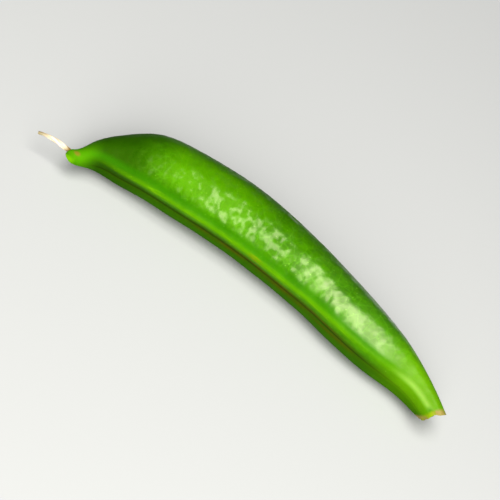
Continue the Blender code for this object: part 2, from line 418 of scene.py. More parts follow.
def ball_places(shape, rings):
    """The ring number and the turn of every point of a ball of rings."""
    points = np.array([vertex.co[:] for vertex in shape.verts])
    ring = np.rint(np.arccos(np.clip(points[:, 2], -1.0, 1.0)) * rings / math.pi).astype(int)
    return ring, np.arctan2(points[:, 1], points[:, 0])


def ring_places():
    """How far along the pod every ring lies, in mm."""
    round_tip = TIP_ROUND * (1.0 - np.cos(np.linspace(0.0, math.pi / 2.0, TIP_RINGS + 1)))
    share = np.linspace(0.0, 1.0, RINGS - HOLLOW_RINGS - TIP_RINGS + 1)[1:]
    share -= END_CROWDING * np.sin(2.0 * math.pi * share) / (2.0 * math.pi)
    body = TIP_ROUND + (LENGTH - TIP_ROUND) * share
    return np.concatenate((round_tip, body, np.full(HOLLOW_RINGS, LENGTH)))


skin = bmesh.new()
bmesh.ops.create_uvsphere(skin, u_segments=AROUND, v_segments=RINGS, radius=1.0)
skin_ring, skin_turn = ball_places(skin, RINGS)
skin_angle = skin_turn - SEAM_CROWDING * np.sin(skin_turn)
skin_along = ring_places()[skin_ring]
print("skin points:", len(skin.verts))

# %% [markdown]
# The pod was torn from its stalk, so its end isn't a clean cut. It is slanted, its rim rises and
# sinks in uneven waves, and the torn skin has a fine grain. Inside the rim a shallow hollow shows
# the flesh. The last rings all lie at the end: they narrow step by step and sink back into the pod,
# which lines the hollow without a second mesh.

# %% Tear the stem end
HOLLOW_PLACES = (0.0, 0.14, 0.42, 0.7, 1.0)
HOLLOW_WIDTHS = (1.0, 0.9, 0.76, 0.42, 0.0)
HOLLOW_DEPTHS = (0.0, 0.1, 0.6, 1.0, 1.0)
TORN_DEPTH = 0.7
TORN_NOTCH = math.radians(60.0)
TORN_UNEVEN = 0.2
TORN_WAVES = 3.0
TORN_RIPPLES = 7.0
RIPPLE_SHARE = 0.5
TORN_RUN = 2.0
TORN_GRAIN = (1.9, 1.9, 0.11, 7.3)
GRAIN_RUN = 0.8
TORN_SLANT = 1.4
SLANT_RUN = 6.0

hollow = np.clip((skin_ring - (RINGS - HOLLOW_RINGS)) / HOLLOW_RINGS, 0.0, 1.0)
skin_scale = np.interp(hollow, HOLLOW_PLACES, HOLLOW_WIDTHS)
skin_straight = straightened(skin_along, skin_angle) * skin_scale[:, None]
ripples = RIPPLE_SHARE * np.sin(TORN_RIPPLES * skin_angle)
waves = TORN_UNEVEN * (np.cos(TORN_WAVES * (skin_angle - TORN_NOTCH)) + ripples)
near_end = rise(skin_along, (LENGTH - TORN_RUN, LENGTH)) * skin_scale
skin_sink = TORN_DEPTH * np.interp(hollow, HOLLOW_PLACES, HOLLOW_DEPTHS) + waves * near_end
grain = noise_on(skin_straight, *TORN_GRAIN)
skin_sink += grain * rise(skin_along, (LENGTH - GRAIN_RUN, LENGTH))
slant = TORN_SLANT * np.cos(skin_angle - TORN_NOTCH) * skin_scale
skin_sink -= slant * rise(skin_along, (LENGTH - SLANT_RUN, LENGTH))
rim_sink = np.round(skin_sink[skin_ring == RINGS - HOLLOW_RINGS], 2)
print("torn rim sinks in mm:", float(rim_sink.min()), "to", float(rim_sink.max()))

# %% [markdown]
# Now every point gets its place on the pod, with its crinkles. What would sink into the surface is
# lifted onto it, which gives the narrow flat strip that the pod's weight makes. A boolean cut would
# do this too, but it would leave ragged triangles along the strip.

# %% Carry the skin to its place
crinkles = crinkle_relief(skin_along, skin_angle)
skin_places = skin_points(skin_along, skin_angle, skin_scale, skin_sink, crinkles)
skin_places[:, 2] = np.maximum(skin_places[:, 2], 0.0)
print("crinkles in mm:", round(float(crinkles.min()), 3), "to", round(float(crinkles.max()), 3))

# %% [markdown]
# The style, the thread that the flower leaves on the pod, dries and stays on the beak. In the CAD
# model it stands in a small round pit, which keeps the two solids apart. Here the skin closes
# softly round it: points near the style's line sink towards its root, which leaves a dimple with a
# swollen lip.

# %% Sink the dimple for the style
STYLE_PATH = np.array((
    (1.1, 0.35, 4.5),
    (0.3, 0.3, 4.55),
    (-0.7, 0.25, 4.6),
    (-2.2, 0.25, 4.65),
    (-3.5, 0.15, 4.6),
    (-4.7, -0.05, 4.5),
    (-5.8, -0.4, 4.4),
))
DIMPLE_REACH = 0.8
DIMPLE_FLOOR = 0.25
DIMPLE_DEPTH = 0.75
DIMPLE_BEGIN = (0.0, 0.4)
BEAK_LENGTH = 4.0
LIP_WIDTH = 0.25
LIP_HEIGHT = 0.07


def move_points(shape, places):
    """Carries every point of a bmesh to its place."""
    for vertex, place in zip(shape.verts, places.tolist()):
        vertex.co = place


style_at, STYLE_LENGTH = spline(STYLE_PATH, STYLE_PATH)
style_root = STYLE_PATH[0]
style_start = STYLE_PATH[2] - style_root
style_ahead = style_start / np.linalg.norm(style_start)
from_root = skin_places - style_root
outside = from_root @ style_ahead
off_line = np.linalg.norm(from_root - outside[:, None] * style_ahead, axis=1)
facing_style = rise(outside, DIMPLE_BEGIN) * (skin_along < BEAK_LENGTH)
dimple = (1.0 - rise(off_line, (DIMPLE_FLOOR, DIMPLE_REACH))) * facing_style
lip = LIP_HEIGHT * hump(off_line - DIMPLE_REACH, LIP_WIDTH) * facing_style
skin_places += ((lip - DIMPLE_DEPTH * dimple)[:, None]) * style_ahead
move_points(skin, to_frame(skin_places))
print("points in the dimple:", int(np.count_nonzero(dimple > 0.0)))

# %% [markdown]
# Shader maths reads best as plain expressions. The small class below wraps one output of a node, so
# that adding, subtracting or multiplying readings puts the Math nodes in place. They could also be
# linked one by one, but a page of links hides what they work out.

# %% Write readings as expressions
class Reading:
    """One output of a node, which can be added, subtracted and multiplied."""

    def __init__(self, finish, socket):
        self.finish = finish
        self.socket = socket

    def __add__(self, other):
        return self.finish.maths("ADD", self, other)

    def __sub__(self, other):
        return self.finish.maths("SUBTRACT", self, other)

    def __rsub__(self, other):
        return self.finish.maths("SUBTRACT", other, self)

    def __mul__(self, other):
        return self.finish.maths("MULTIPLY", self, other)

    __radd__ = __add__
    __rmul__ = __mul__


print("operators:", [name for name in vars(Reading) if name.strip("_") in ("add", "sub", "mul")])

# %% [markdown]
# A finish is one material with its nodes. One method adds every kind of node, with its settings
# first and its inputs after them, and the others give the few kinds that are needed a plain name.
# Colors and vectors go through their own nodes, because a Math node would turn a color grey.

# %% Write finishes as sets of nodes
# A Mix node keeps a set of sockets for each kind of data. These are its share and its color ones.
MIX_SHARE = 0
MIX_FIRST_COLOR = 6
MIX_SECOND_COLOR = 7
MIX_RESULT_COLOR = 2


class Finish:
    """One material and the nodes that it is made of."""

    def __init__(self, name, **constants):
        self.material = bpy.data.materials.new(name)
        self.material.use_nodes = True
        self.tree = self.material.node_tree
        self.shader = self.tree.nodes["Principled BSDF"]
        self.paint(**constants)

    def feed(self, socket, value):
        """Links a reading to an input, or sets the input to a plain value."""
        if isinstance(value, Reading):
            self.tree.links.new(value.socket, socket)
        elif isinstance(value, tuple) and len(value) == 3 and socket.type == "RGBA":
            socket.default_value = (*value, 1.0)
        else:
            socket.default_value = value

    def paint(self, **inputs):
        """Feeds inputs of the material's own shader."""
        for socket, value in inputs.items():
            self.feed(self.shader.inputs[socket.replace("_", " ")], value)

    def node(self, kind, settings, inputs, output=0):
        """A node by its type, with its settings made before its inputs are fed."""
        made = self.tree.nodes.new(kind)
        for setting, value in settings.items():
            setattr(made, setting, value)
        for socket, value in inputs.items():
            self.feed(made.inputs[socket], value)
        return Reading(self, made.outputs[output])

    def maths(self, operation, first, second=0.0):
        """A Math node on two readings or numbers."""
        return self.node("ShaderNodeMath", {"operation": operation}, {0: first, 1: second})

    def vectors(self, operation, first, second):
        """A Vector Math node on two readings or vectors."""
        settings = {"operation": operation}
        return self.node("ShaderNodeVectorMath", settings, {0: first, 1: second})

    def attribute(self, name, output="Fac"):
        """A reading that is stored on the points of the mesh."""
        return self.node("ShaderNodeAttribute", {"attribute_name": name}, {}, output)

    def between(self, value, span):
        """Rises smoothly from 0 to 1 as the value crosses a span."""
        settings = {"interpolation_type": "SMOOTHSTEP"}
        inputs = {"Value": value, "From Min": span[0], "From Max": span[1]}
        return self.node("ShaderNodeMapRange", settings, inputs)

    def change(self, value, span, first, last):
        """Goes smoothly from a first level to a last one as the value crosses a span."""
        return first + self.between(value, span) * (last - first)

    def ridge(self, value, centre, width):
        """1 where the value is at the centre, falling smoothly to 0 at a width to either side."""
        return 1.0 - self.between(self.maths("ABSOLUTE", value - centre), (0.0, width))

    def blend(self, share, first, second):
        """The first color where the share is 0 and the second where it is 1."""
        inputs = {MIX_SHARE: share, MIX_FIRST_COLOR: first, MIX_SECOND_COLOR: second}
        return self.node("ShaderNodeMix", {"data_type": "RGBA"}, inputs, MIX_RESULT_COLOR)

    def noise(self, place, rates, detail=2.0, roughness=0.5):
        """Noise on a place, drawn out where the rate of a direction is low."""
        inputs = {"Vector": self.vectors("MULTIPLY", place, rates), "Scale": 1.0}
        inputs.update({"Detail": detail, "Roughness": roughness})
        return self.node("ShaderNodeTexNoise", {}, inputs, "Fac")

    def web(self, place, feature, scale):
        """A net of cells: the distance to the nearest edge, or to the nearest middle."""
        inputs = {"Vector": place, "Scale": scale}
        return self.node("ShaderNodeTexVoronoi", {"feature": feature}, inputs, "Distance")

    def bumps(self, height, distance):
        """A Bump node, which only turns the light and leaves the mesh as it is."""
        return self.node("ShaderNodeBump", {}, {"Height": height, "Distance": distance}, "Normal")


print("tools of a finish:", [tool for tool in vars(Finish) if not tool.startswith("_")])

# %% [markdown]
# The skin is green flesh under clear wax. The shader's coat is the wax and gives the highlight, and
# the flesh has next to no gloss of its own. A little light passes through the flesh, which softens
# the ribs. Values that are the same all over are set on the sockets here. What changes over the
# skin follows readings that will be stored on its points: millimetres along the pod, from the seam
# and from the back, the share of the torn hollow, and the place on the straightened pod.

# %% Start the waxed skin
# Every span along the pod, from its seam or from its back is in mm.
UPPER_SIDE = (-0.8, 0.6)

wax = Finish(
    "waxed_pod_skin",
    IOR=1.5,
    Specular_IOR_Level=0.05,
    Specular_Tint=(1.0, 0.97, 0.5),
    Coat_IOR=1.7,
    Coat_Roughness=0.27,
    Subsurface_Weight=0.1,
    Subsurface_Radius=(0.3, 1.0, 0.1),
    Subsurface_Scale=0.8 * MM,
)
along = wax.attribute("along")
from_seam = wax.attribute("from_seam")
from_back = wax.attribute("from_back")
rib_line = wax.attribute("rib_line")
torn = wax.attribute("torn")
straight = wax.attribute("straight", "Vector")
beside = wax.maths("ABSOLUTE", from_seam)
upper_side = wax.between(from_seam, UPPER_SIDE)
print("nodes for the readings:", len(wax.tree.nodes))

# %% [markdown]
# The flank is a saturated green, mottled where the cells under the wax are fuller. Two noises make
# it, one in wide clouds and one in fine specks. A painted image would do the same, but noise has no
# edges and no pixels.

# %% Mottle the flank
FLANK_DEEP = (0.036, 0.140, 0.0003)
FLANK_BRIGHT = (0.068, 0.228, 0.0004)
CLOUD_RATES = (0.22, 0.3, 0.3)
CLOUD_DETAIL = 3.0
CLOUD_ROUGHNESS = 0.6
CELL_RATES = (1.2, 1.6, 1.6)
CELL_SHARE = 0.25
MOTTLE_SPAN = (0.3, 0.7)

clouds = wax.noise(straight, CLOUD_RATES, CLOUD_DETAIL, CLOUD_ROUGHNESS)
cells = wax.noise(straight, CELL_RATES)
mottle = wax.between(clouds * (1.0 - CELL_SHARE) + cells * CELL_SHARE, MOTTLE_SPAN)
green = wax.blend(mottle, FLANK_DEEP, FLANK_BRIGHT)
print("nodes with the mottle:", len(wax.tree.nodes))

# %% [markdown]
# A pale net of veins and small breathing dots lie just under the wax. The veins are the edges of
# large cells, bent by a slow noise so that no edge is straight, and they stop short of the ribs.
# The dots are the middles of smaller cells, and only some stretches of the skin have them.

# %% Draw the veins and the breathing dots
VEIN_GREEN = (0.170, 0.520, 0.030)
DOT_GREEN = (0.280, 0.600, 0.080)
WANDER_RATES = (0.4, 0.4, 0.4)
WANDER_REACH = (1.1, 1.1, 1.1)
VEIN_RATES = (0.5, 0.34, 0.34)
VEIN_WIDTH = (0.0, 0.07)
VEINS_BEGIN = (2.6, 4.0)
VEIN_SHARE = 0.12
DOT_SCALE = 1.15
DOT_SIZE = (0.06, 0.2)
DOT_STRETCHES = (0.42, 0.62)
DOT_SHARE = 0.3

wander = wax.noise(straight, WANDER_RATES)
bent = wax.vectors("MULTIPLY", wander, WANDER_REACH)
vein_place = wax.vectors("ADD", wax.vectors("MULTIPLY", straight, VEIN_RATES), bent)
vein_web = wax.web(vein_place, "DISTANCE_TO_EDGE", 1.0)
veins = (1.0 - wax.between(vein_web, VEIN_WIDTH)) * wax.between(beside, VEINS_BEGIN)
green = wax.blend(veins * VEIN_SHARE, green, VEIN_GREEN)

dot_web = wax.web(straight, "F1", DOT_SCALE)
dots = (1.0 - wax.between(dot_web, DOT_SIZE)) * wax.between(wander, DOT_STRETCHES)
green = wax.blend(dots * DOT_SHARE, green, DOT_GREEN)
print("nodes with the veins and dots:", len(wax.tree.nodes))

# %% [markdown]
# The green deepens round the girth towards the back, partly as the back's own deeper green and
# partly as painted shade on the far side. Along the flank towards the beak it deepens as painted
# shade. Both are smooth blends to the same deep green, so that no edge shows where they meet.
# Between the beak and the middle, a lane of the upper flank under the highlight is painted lighter,
# which is painted light.

# %% Deepen the back, and paint shade near the beak and light on the upper flank
# A deep green, used as painted shade on the back, the beak's flank and the lower rib.
DEEP_SHADE_GREEN = (0.020, 0.074, 0.0003)
BACK_SHADE_SPAN = (5.5, 13.0)
BACK_SHADE_SHARE = 0.8
BEAK_SHADE_SPAN = (10.0, 21.0)
BEAK_SHADE_SHARE = 0.95
FLANK_PAINTED_LIGHT = (0.088, 0.266, 0.0004)
LIGHT_BEGIN = (15.0, 21.0)
LIGHT_END = (32.0, 40.0)
LIGHT_FROM_SEAM = (3.0, 5.0)
LIGHT_TO_BACK = (9.5, 13.0)
LIGHT_SHARE = 0.5

# Deeper green towards the back: partly the back's own color, partly painted shade on the far side.
green = wax.blend(wax.between(beside, BACK_SHADE_SPAN) * BACK_SHADE_SHARE, green, DEEP_SHADE_GREEN)
# Deeper green along the flank towards the beak: painted shade.
green = wax.blend(wax.change(along, BEAK_SHADE_SPAN, BEAK_SHADE_SHARE, 0.0), green, DEEP_SHADE_GREEN)
# A lighter lane of the upper flank under the highlight: painted light.
light = wax.between(from_seam, LIGHT_FROM_SEAM) * (1.0 - wax.between(from_seam, LIGHT_TO_BACK))
light = light * wax.between(along, LIGHT_BEGIN) * (1.0 - wax.between(along, LIGHT_END))
green = wax.blend(light * LIGHT_SHARE, green, FLANK_PAINTED_LIGHT)
print("nodes with the deeper and lighter green:", len(wax.tree.nodes))

# %% [markdown]
# The ribs are yellow-green, and the trough beside each rib is a deeper green. The upper rib takes
# the yellow-green more strongly, which is painted light, and the lower rib is painted nearly as
# deep as the back, which is painted shade. The colors follow the same rib line as the relief, so
# that they can't drift off it.

# %% Color the ribs and troughs
TROUGH_GREEN = (0.031, 0.160, 0.0003)
RIB_GREEN = (0.095, 0.260, 0.001)
TROUGH_TINT_WIDTH = 1.3
TROUGH_SHARE = 0.7
RIB_CREST = 0.94
RIB_TINT_WIDTH = 0.85
RIB_GREEN_BEGIN = (3.0, 18.0)
RIB_GREEN_END = (60.0, 70.0)
RIB_GREEN_LAST = 0.2
RIB_SHARE_BELOW = 0.2
RIB_PAINTED_LIGHT_SHARE = 0.6
LOWER_RIB_SPAN = (3.0, 5.0)
LOWER_RIB_SHADE_SHARE = 0.8

trough = wax.ridge(beside, rib_line + TROUGH_OFFSET, TROUGH_TINT_WIDTH)
green = wax.blend(trough * TROUGH_SHARE, green, TROUGH_GREEN)
rib = wax.ridge(beside, rib_line * RIB_CREST, RIB_TINT_WIDTH)
rib_shown = wax.between(along, RIB_GREEN_BEGIN)
rib_shown = rib_shown * wax.change(along, RIB_GREEN_END, 1.0, RIB_GREEN_LAST)
# The yellow-green is stronger on the upper rib than on the lower: painted light.
rib_tint_and_light = RIB_SHARE_BELOW + upper_side * RIB_PAINTED_LIGHT_SHARE
green = wax.blend(rib * rib_shown * rib_tint_and_light, green, RIB_GREEN)
# The lower rib is darkened towards the deep green: painted shade.
lower_rib_shade = (1.0 - upper_side) * (1.0 - wax.between(beside, LOWER_RIB_SPAN))
green = wax.blend(lower_rib_shade * LOWER_RIB_SHADE_SHARE, green, DEEP_SHADE_GREEN)
print("nodes with the ribs:", len(wax.tree.nodes))

# %% [markdown]
# The furrow between the ribs is dark olive, with brown streaks along the middle of the pod. The
# olive and brown are the seam's own colors, and their darkness is partly painted shade in the
# furrow. The suture at its bottom is a thin dark line of painted shade. The streaks are fibres that
# run lengthwise. Noise makes them, drawn out along the pod by a low rate in that direction.

# %% Color the furrow
FURROW_OLIVE_SHADE = (0.030, 0.080, 0.001)
FURROW_BROWN = (0.070, 0.052, 0.003)
SUTURE_SHADE = (0.012, 0.022, 0.001)
FIBRE_RATES = (0.16, 3.2, 3.2)
FURROW_BEGIN = (4.0, 12.0)
FURROW_END = (70.0, 80.0)
FURROW_FLOOR = 0.1
FURROW_SIDE = 0.62
FURROW_SHARE = 0.8
BROWN_BEGIN = (24.0, 34.0)
BROWN_END = (60.0, 70.0)
BROWN_FIBRES = (0.35, 0.6)
SUTURE_WIDTH = (0.06, 0.26)
SUTURE_BEGIN = (2.0, 6.0)
SUTURE_SHARE = 0.6

fibres = wax.noise(straight, FIBRE_RATES)
furrow = 1.0 - wax.between(beside, (rib_line * FURROW_FLOOR, rib_line * FURROW_SIDE))
# The furrow's olive and brown are its own colors; its darkness is partly painted shade.
olive_and_shade = furrow * wax.between(along, FURROW_BEGIN) * (1.0 - wax.between(along, FURROW_END))
brown = wax.between(along, BROWN_BEGIN) * (1.0 - wax.between(along, BROWN_END))
brown = brown * wax.between(fibres, BROWN_FIBRES)
furrow_tint_and_shade = wax.blend(brown, FURROW_OLIVE_SHADE, FURROW_BROWN)
green = wax.blend(olive_and_shade * FURROW_SHARE, green, furrow_tint_and_shade)
# The thin dark line at the bottom of the furrow is painted shade.
suture = (1.0 - wax.between(beside, SUTURE_WIDTH)) * wax.between(along, SUTURE_BEGIN)
green = wax.blend(suture * SUTURE_SHARE, green, SUTURE_SHADE)
print("nodes with the furrow:", len(wax.tree.nodes))

# %% [markdown]
# The same fibres show as pale threads on the upper rib, and they break up one small brown fleck on
# it, halfway along the pod. A fleck with a smooth edge would look like a drop of paint.

# %% Lay the fibres and the fleck on the rib
RIB_PALE = (0.260, 0.520, 0.010)
FLECK_BROWN = (0.230, 0.190, 0.006)
PALE_FIBRES = (0.5, 0.75)
PALE_SHARE = 0.3
FLECK_ALONG = 41.0
FLECK_LENGTH = 2.2
FLECK_CREST = 0.95
FLECK_WIDTH = 0.7
FLECK_FIBRES = (0.3, 0.55)
FLECK_SHARE = 0.75

rib_fibres = rib * rib_shown * upper_side * wax.between(fibres, PALE_FIBRES)
green = wax.blend(rib_fibres * PALE_SHARE, green, RIB_PALE)
fleck = wax.ridge(from_seam, rib_line * FLECK_CREST, FLECK_WIDTH)
fleck = fleck * wax.ridge(along, FLECK_ALONG, FLECK_LENGTH) * wax.between(fibres, FLECK_FIBRES)
green = wax.blend(fleck * FLECK_SHARE, green, FLECK_BROWN)
print("nodes with the fibres and the fleck:", len(wax.tree.nodes))

# %% [markdown]
# Towards the stem the pod narrows and turns a lighter green. Along the back there it is painted
# lime, which is a painted rim of light, and the crest of the upper rib is painted pale, which is a
# painted highlight. The keel along the whole back is tinted faintly, like the ribs. Each is a blend
# that follows the place along the pod and round it.

# %% Color the keel and the stem end
KEEL_SPAN = (0.2, 1.1)
KEEL_SHARE = 0.35
END_GREEN = (0.120, 0.280, 0.003)
END_SPAN = (66.0, 79.0)
END_SHARE_BELOW = 0.35
END_SHARE_ADDED = 0.65
END_SHARE = 0.7
END_RIM_LIGHT = (0.380, 0.820, 0.010)
END_RIM_LIGHT_SPAN = (68.0, 80.0)
END_RIM_LIGHT_WIDTH = (0.3, 2.2)
END_RIM_LIGHT_SHARE = 0.8
CREST_PAINTED_HIGHLIGHT = (0.300, 0.470, 0.150)
CREST_SPAN = (72.0, 78.0)
CREST_LINE = 1.12
CREST_WIDTH = 0.95
CREST_HIGHLIGHT_SHARE = 0.48

keel = 1.0 - wax.between(from_back, KEEL_SPAN)
green = wax.blend(keel * KEEL_SHARE, green, RIB_GREEN)
stem_neck = wax.between(along, END_SPAN) * (END_SHARE_BELOW + upper_side * END_SHARE_ADDED)
green = wax.blend(stem_neck * END_SHARE, green, END_GREEN)
# A lime edge along the back near the stem: painted rim light.
back_rim_light = wax.between(along, END_RIM_LIGHT_SPAN) * (1.0 - wax.between(from_back, END_RIM_LIGHT_WIDTH))
green = wax.blend(back_rim_light * END_RIM_LIGHT_SHARE, green, END_RIM_LIGHT)
# A pale streak on the upper rib's crest near the stem: painted highlight.
crest_highlight = wax.ridge(from_seam, rib_line * CREST_LINE, CREST_WIDTH) * wax.between(along, CREST_SPAN)
green = wax.blend(crest_highlight * CREST_HIGHLIGHT_SHARE, green, CREST_PAINTED_HIGHLIGHT)
print("nodes with the stem end:", len(wax.tree.nodes))

# %% [markdown]
# The beak is bright: yellow-green on its neck and lime at the very tip, below the style. One small
# brown stain sits on it, just above the seam. Two crossed ridges make the stain, and a smooth step
# on them gives it a clear edge.

# %% Color the beak
TIP_GREEN = (0.080, 0.265, 0.002)
TIP_LIME = (0.240, 0.580, 0.003)
STAIN_BROWN = (0.205, 0.160, 0.030)
BEAK_NECK = (1.8, 7.0)
BEAK_TIP = (0.3, 1.6)
BEAK_BELOW = (-0.5, 1.5)
BEAK_SHARE = 0.85
STAIN_ALONG = 1.5
STAIN_LENGTH = 0.95
STAIN_BESIDE = 2.1
STAIN_WIDTH = 0.9
STAIN_EDGE = (0.05, 0.85)
STAIN_SHARE = 0.8

beak_neck = 1.0 - wax.between(along, BEAK_NECK)
green = wax.blend(beak_neck * BEAK_SHARE, green, TIP_GREEN)
beak_tip = (1.0 - wax.between(along, BEAK_TIP)) * (1.0 - wax.between(from_seam, BEAK_BELOW))
green = wax.blend(beak_tip * BEAK_SHARE, green, TIP_LIME)
stain = wax.ridge(along, STAIN_ALONG, STAIN_LENGTH)
stain = stain * wax.ridge(from_seam, STAIN_BESIDE, STAIN_WIDTH)
green = wax.blend(wax.between(stain, STAIN_EDGE) * STAIN_SHARE, green, STAIN_BROWN)
print("nodes with the beak:", len(wax.tree.nodes))

# %% [markdown]
# The torn rim has dried from green to tan in patches, with an uneven edge towards the skin. Behind
# it, on the upper rib, a short notch is painted darker, which is painted shade where the rim dips.
# Inside, the hollow goes from moist green flesh to a dark floor, which is painted shade in the
# hollow. The reading of the hollow is 0 on the skin, so this blend can't spill over it.

# %% Color the torn end
NOTCH_SHADE = (0.045, 0.170, 0.001)
TORN_RIM = (0.200, 0.290, 0.006)
TORN_TAN = (0.260, 0.205, 0.085)
TORN_FLESH = (0.110, 0.300, 0.008)
TORN_HOLLOW_SHADE = (0.015, 0.070, 0.002)
RIM_RATES = (0.2, 0.45, 0.45)
RIM_DETAIL = 3.0
RIM_PATCHES = (0.45, 0.62)
RIM_UNEVEN = 0.8
RIM_SPAN = (LENGTH - 0.8, LENGTH - 0.1)
NOTCH_SPAN = (LENGTH - 2.2, LENGTH - 1.0)
NOTCH_BESIDE = 2.4
NOTCH_WIDTH = 0.9
NOTCH_SHARE = 0.8
INSIDE_SPAN = (0.1, 0.3)
HOLLOW_SHADE_SPAN = (0.3, 0.65)

# A darker notch behind the torn rim: painted shade.
notch_shade = wax.ridge(from_seam, NOTCH_BESIDE, NOTCH_WIDTH) * wax.between(along, NOTCH_SPAN)
green = wax.blend(notch_shade * NOTCH_SHARE, green, NOTCH_SHADE)
rim_tint = wax.noise(straight, RIM_RATES, RIM_DETAIL)
torn_rim = wax.blend(wax.between(rim_tint, RIM_PATCHES), TORN_RIM, TORN_TAN)
green = wax.blend(wax.between(along + rim_tint * RIM_UNEVEN, RIM_SPAN), green, torn_rim)
# Moist green flesh darkening to the hollow's floor: the darkening is painted shade.
flesh_and_shade = wax.blend(wax.between(torn, HOLLOW_SHADE_SPAN), TORN_FLESH, TORN_HOLLOW_SHADE)
inside = wax.between(torn, INSIDE_SPAN)
green = wax.blend(inside, green, flesh_and_shade)
print("nodes with the torn end:", len(wax.tree.nodes))

# %% [markdown]
# The wax isn't laid evenly. It is thin near the beak, thickest past the middle, and thin again at
# the stem and over the back, and hardly any lies in the seam. The weight of the coat carries this,
# so that the highlight is strong only where the wax is thick.

# %% Spread the wax
WAX_BEGIN = (12.0, 21.0)
WAX_AT_BEAK = 0.03
WAX_GROWS = (18.0, 30.0)
WAX_THIN = 0.17
WAX_HALF = 0.39
WAX_FILLS = (44.0, 56.0)
WAX_ADDED = 0.46
WAX_END = (66.5, 75.0)
WAX_AT_STEM = 0.2
WAX_BACK = (9.0, 14.0)
WAX_AT_BACK = 0.4
WAX_BELOW = 0.45
SEAM_BARE = 2.8
SEAM_WAXED = 4.2
SEAM_NARROWS = (50.0, 58.0)
SEAM_NARROWER = 0.5
SEAM_DULL = 0.96

waxed_beak = wax.change(along, WAX_BEGIN, WAX_AT_BEAK, 1.0)
waxed_middle = wax.change(along, WAX_GROWS, WAX_THIN, WAX_HALF)
waxed_middle = waxed_middle + wax.between(along, WAX_FILLS) * WAX_ADDED
waxed_stem = wax.change(along, WAX_END, 1.0, WAX_AT_STEM)
waxed_back = wax.change(beside, WAX_BACK, 1.0, WAX_AT_BACK)
seam_reach = SEAM_WAXED - wax.between(along, SEAM_NARROWS) * SEAM_NARROWER
bare_seam = 1.0 - wax.between(beside, (SEAM_BARE, seam_reach))
cover = waxed_beak * waxed_middle * waxed_stem * waxed_back
cover = cover * (1.0 - bare_seam * SEAM_DULL) * (1.0 - inside)
cover = cover * (WAX_BELOW + upper_side * (1.0 - WAX_BELOW))
print("nodes with the wax:", len(wax.tree.nodes))

# %% [markdown]
# Handling rubs the wax off in small patches, which breaks the highlight up further. The patches
# gather in wider groups. They stand out most on the beak's half of the pod, and fade into an even
# coat past the middle. One noise alone would spread them too evenly, so a slower one joins it.

# %% Rub the wax into patches
PATCH_RATES = (0.75, 0.68, 0.68)
PATCH_DETAIL = 1.2
GROUP_RATES = (0.3, 0.12, 0.12)
GROUP_DETAIL = 0.0
GROUP_SHARE = 0.2
EDGE_SPAN = (42.0, 56.0)
EDGE_AT_BEAK = 0.44
EDGE_AT_STEM = 0.38
PATCH_FULL = 0.64
PATCHY_SPAN = (42.0, 57.0)
PATCHY_AT_BEAK = 1.0
PATCHY_AT_STEM = 0.29
PATCH_LEVEL = 0.9
PATCH_LOWERS = 0.8
PATCH_LIFTS = 1.6

patches = wax.noise(straight, PATCH_RATES, PATCH_DETAIL)
groups = wax.noise(straight, GROUP_RATES, GROUP_DETAIL)
patches = patches * (1.0 - GROUP_SHARE) + groups * GROUP_SHARE
patchy = wax.change(along, PATCHY_SPAN, PATCHY_AT_BEAK, PATCHY_AT_STEM)
patch_edge = wax.change(along, EDGE_SPAN, EDGE_AT_BEAK, EDGE_AT_STEM)
lifted = wax.between(patches, (patch_edge, PATCH_FULL)) * patchy * PATCH_LIFTS
waxed_patches = PATCH_LEVEL - patchy * PATCH_LOWERS + lifted
cover = cover * waxed_patches
print("nodes with the patches:", len(wax.tree.nodes))

# %% [markdown]
# The flesh under the wax is duller at both ends, in the furrow and inside the torn end, so its
# roughness is higher there. The finest grain, far below a tenth of a millimetre high, is left to a
# bump, because it is too fine for the mesh.

# %% Finish the surface
ROUGH_LEAST = 0.32
ROUGH_ADDED = 0.14
ROUGH_RATES = (0.5, 0.5, 0.5)
ROUGH_BEAK_SPAN = (5.0, 19.0)
ROUGH_AT_BEAK = 0.2
ROUGH_STEM_SPAN = (66.0, 77.0)
ROUGH_AT_STEM = 0.4
ROUGH_INSIDE = 0.2
ROUGH_FURROW = 0.3
GRAIN_RATES = (3.0, 2.2, 2.2)
GRAIN_SHARE = 0.6
GRAIN_VEINS = 0.1
GRAIN_CELLS = 0.3
GRAIN_HEIGHT = 0.016 * MM

dull_ends = wax.change(along, ROUGH_BEAK_SPAN, ROUGH_AT_BEAK, 0.0)
dull_ends = dull_ends + wax.between(along, ROUGH_STEM_SPAN) * ROUGH_AT_STEM
roughness = ROUGH_LEAST + ROUGH_ADDED * wax.noise(straight, ROUGH_RATES) + dull_ends
roughness = roughness + inside * ROUGH_INSIDE + furrow * ROUGH_FURROW
surface = wax.noise(straight, GRAIN_RATES) * GRAIN_SHARE
surface = surface + veins * GRAIN_VEINS + cells * GRAIN_CELLS
wax.paint(
    Base_Color=green,
    Roughness=roughness,
    Coat_Weight=cover,
    Normal=wax.bumps(surface, GRAIN_HEIGHT),
)
print("nodes in the waxed skin:", len(wax.tree.nodes))

# %% [markdown]
# The skin's bmesh now becomes an object. Its faces are first turned outwards, because carrying a
# ball's points elsewhere can turn it inside out. The readings are stored on its points as
# attributes, which the finish looks up by name. The piece rides on the pod's body and stands in for
# the CAD pod, which is hidden.

